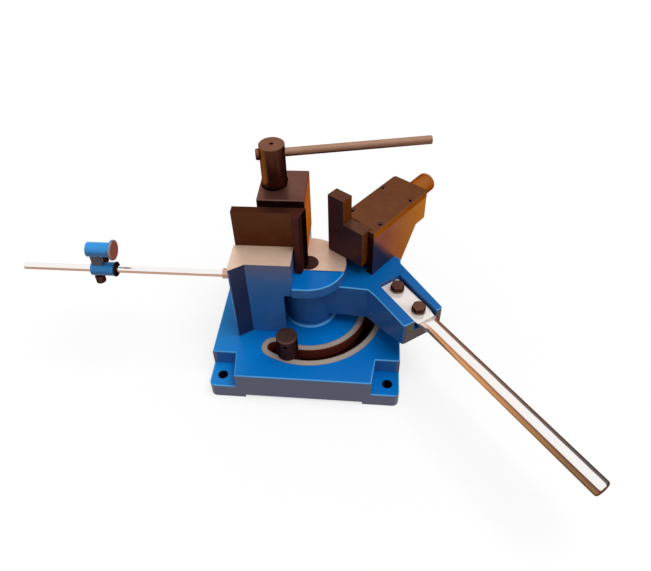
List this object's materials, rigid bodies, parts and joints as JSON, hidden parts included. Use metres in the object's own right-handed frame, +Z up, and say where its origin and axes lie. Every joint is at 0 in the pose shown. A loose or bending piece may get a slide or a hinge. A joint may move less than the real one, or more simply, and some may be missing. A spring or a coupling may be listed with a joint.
{
  "type": "universal bender",
  "caption": "Bench bender with a bolted cast base, a swing arm on a vertical pivot, fixed and adjustable jaws, an eccentric clamp, an angle stop and a length stop.",
  "frame": {"origin": "middle of the four base bolt holes, on the underside of the base, on the pivot axis of the swing arm", "axes": "+Z up along the pivot axis, +Y to the back (from the fixed jaw to the clamp block), +X to the lever side"},
  "size_m": [0.7585, 0.4771, 0.3085],
  "materials": {
    "blue_enamel": "blue enamel on cast iron, machined faces bare",
    "black_steel": "black oxide",
    "dark_fastener": "black oxide",
    "bright_steel": "bright plated",
    "ground_steel": "ground",
    "orange_steel": "black oxide",
    "bronze": "turned bronze",
    "blue_disc": "dark blue"
  },
  "bodies": {
    "base": {"base_casting": "blue_enamel", "pivot_pin": "ground_steel", "pivot_retaining_ring": "dark_fastener", "thrust_washer": "bronze", "fixed_jaw": "black_steel", "fixed_jaw_screws": "dark_fastener", "guide_key": "ground_steel", "guide_key_screws": "dark_fastener", "cam_bush": "bronze", "length_stop_rod": "bright_steel", "rod_jam_nut": "bronze"},
    "clamp_block": {"clamp_block": "black_steel"},
    "eccentric": {"eccentric_shaft": "black_steel", "handle_rod": "black_steel", "handle_nut": "black_steel", "handle_set_screw": "dark_fastener"},
    "swing_arm": {"swing_arm": "blue_enamel", "upper_pivot_bush": "bronze", "lower_pivot_bush": "bronze", "lever": "bright_steel", "lever_washers": "bright_steel", "lever_bolts": "dark_fastener", "slide_housing": "black_steel", "housing_screws": "dark_fastener", "cover_plate": "black_steel", "cover_screws": "dark_fastener", "gib_strip": "ground_steel"},
    "moving_jaw": {"moving_jaw": "black_steel"},
    "adjusting_screw": {"adjusting_screw": "ground_steel", "screw_knob": "orange_steel"},
    "angle_stop": {"angle_stop_bolt": "dark_fastener"},
    "angle_stop_nut": {"angle_stop_nut": "black_steel"},
    "length_stop": {"length_stop_bracket": "blue_enamel", "bracket_lock_nut": "dark_fastener", "spindle_lock_screw": "dark_fastener"},
    "stop_disc": {"length_stop_disc": "blue_disc"},
    "thumb_screw": {"thumb_screw": "dark_fastener"}
  },
  "joints": [
    {"name": "arm_swing", "type": "hinge", "parent": "base", "child": "swing_arm", "pos_m": [0, 0, 0.1], "axis": [0, 0, 1], "range_deg": [-70, 37]},
    {"name": "jaw_slide", "type": "slide", "parent": "swing_arm", "child": "moving_jaw", "axis": [-0.6018, -0.7986, 0], "range_m": [0, 0.032]},
    {"name": "screw_turn", "type": "hinge", "parent": "swing_arm", "child": "adjusting_screw", "pos_m": [0.1557, 0.1331, 0.184], "axis": [0.6018, 0.7986, 0], "range_deg": [0, 2310]},
    {"name": "eccentric_turn", "type": "hinge", "parent": "base", "child": "eccentric", "pos_m": [-0.05, 0.059, 0.25], "axis": [0, 0, 1], "range_deg": [-45, 45]},
    {"name": "clamp_slide", "type": "slide", "parent": "base", "child": "clamp_block", "axis": [0, 1, 0], "range_m": [-0.0043, 0.0043]},
    {"name": "angle_stop_slide", "type": "hinge", "parent": "base", "child": "angle_stop", "pos_m": [0, 0, 0.05], "axis": [0, 0, 1], "range_deg": [-10.5, 60]},
    {"name": "angle_stop_nut_turn", "type": "hinge", "parent": "angle_stop", "child": "angle_stop_nut", "pos_m": [-0.02494, -0.09115, 0.05], "axis": [0, 0, 1], "range_deg": [-180, 180]},
    {"name": "length_stop_slide", "type": "slide", "parent": "base", "child": "length_stop", "axis": [1, 0, 0], "range_m": [-0.1, 0.13]},
    {"name": "stop_disc_slide", "type": "slide", "parent": "length_stop", "child": "stop_disc", "axis": [1, 0, 0], "range_m": [0, 0.012]},
    {"name": "thumb_screw_turn", "type": "hinge", "parent": "length_stop", "child": "thumb_screw", "pos_m": [-0.3, -0.047, 0.15], "axis": [0, 0, 1], "range_deg": [-180, 180]}
  ],
  "couplings": [
    {"joint": "screw_turn", "follows": "jaw_slide", "rad_per_m": 1256.6},
    {"joint": "clamp_slide", "follows": "eccentric_turn", "m_per_rad": 0.0054019}
  ]
}
